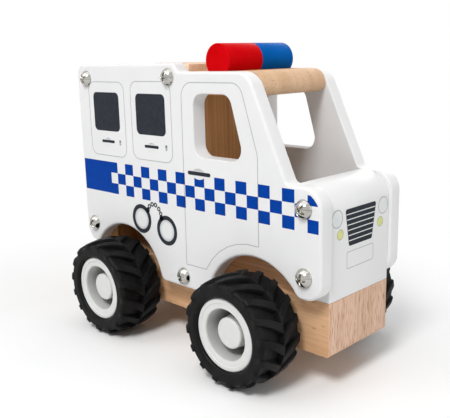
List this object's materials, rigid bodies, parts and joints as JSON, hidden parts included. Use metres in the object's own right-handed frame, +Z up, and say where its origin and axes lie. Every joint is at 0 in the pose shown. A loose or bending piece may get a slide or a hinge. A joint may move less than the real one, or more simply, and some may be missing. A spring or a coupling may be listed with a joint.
{
  "type": "wooden toy police van",
  "caption": "Wooden toy van with white screwed side panels, open cab, red and blue roof light bar and lugged rubber tyres on turning axles.",
  "frame": {"origin": "on the ground under the middle of the van", "axes": "+X to the front of the van, +Y to its left side, +Z up"},
  "size_m": [0.175, 0.1062, 0.156],
  "materials": {
    "white_paint": "satin white lacquer on wood",
    "beech": "fine sanded natural beech, matt clear finish",
    "lamp_red": "gloss red lacquer on a wooden dowel",
    "lamp_blue": "gloss blue lacquer on a wooden dowel",
    "nickel": "polished nickel plating",
    "steel": "drawn steel rod",
    "rim_plastic": "off-white moulded plastic, satin",
    "tyre_rubber": "moulded black rubber, matt"
  },
  "bodies": {
    "van_body": {"side_panel_right": "white_paint", "side_panel_left": "white_paint", "front_board": "white_paint", "rear_wall": "beech", "base_block": "beech", "partition_board": "beech", "rear_roof_board": "beech", "cab_roof_board": "beech", "light_bar_pegs": "beech", "light_bar_red": "lamp_red", "light_bar_blue": "lamp_blue", "panel_screws_right": "nickel", "panel_screws_left": "nickel"},
    "front_wheels": {"front_axle": "steel", "front_washers": "steel", "front_rim_right": "rim_plastic", "front_tyre_right": "tyre_rubber", "front_hub_cap_right": "rim_plastic", "front_rim_left": "rim_plastic", "front_tyre_left": "tyre_rubber", "front_hub_cap_left": "rim_plastic"},
    "rear_wheels": {"rear_axle": "steel", "rear_washers": "steel", "rear_rim_right": "rim_plastic", "rear_tyre_right": "tyre_rubber", "rear_hub_cap_right": "rim_plastic", "rear_rim_left": "rim_plastic", "rear_tyre_left": "tyre_rubber", "rear_hub_cap_left": "rim_plastic"}
  },
  "joints": [
    {"name": "front_axle_spin", "type": "hinge", "parent": "van_body", "child": "front_wheels", "pos_m": [0.047, 0, 0.0265], "axis": [0, 1, 0], "continuous": true},
    {"name": "rear_axle_spin", "type": "hinge", "parent": "van_body", "child": "rear_wheels", "pos_m": [-0.05075, 0, 0.0265], "axis": [0, 1, 0], "continuous": true}
  ]
}
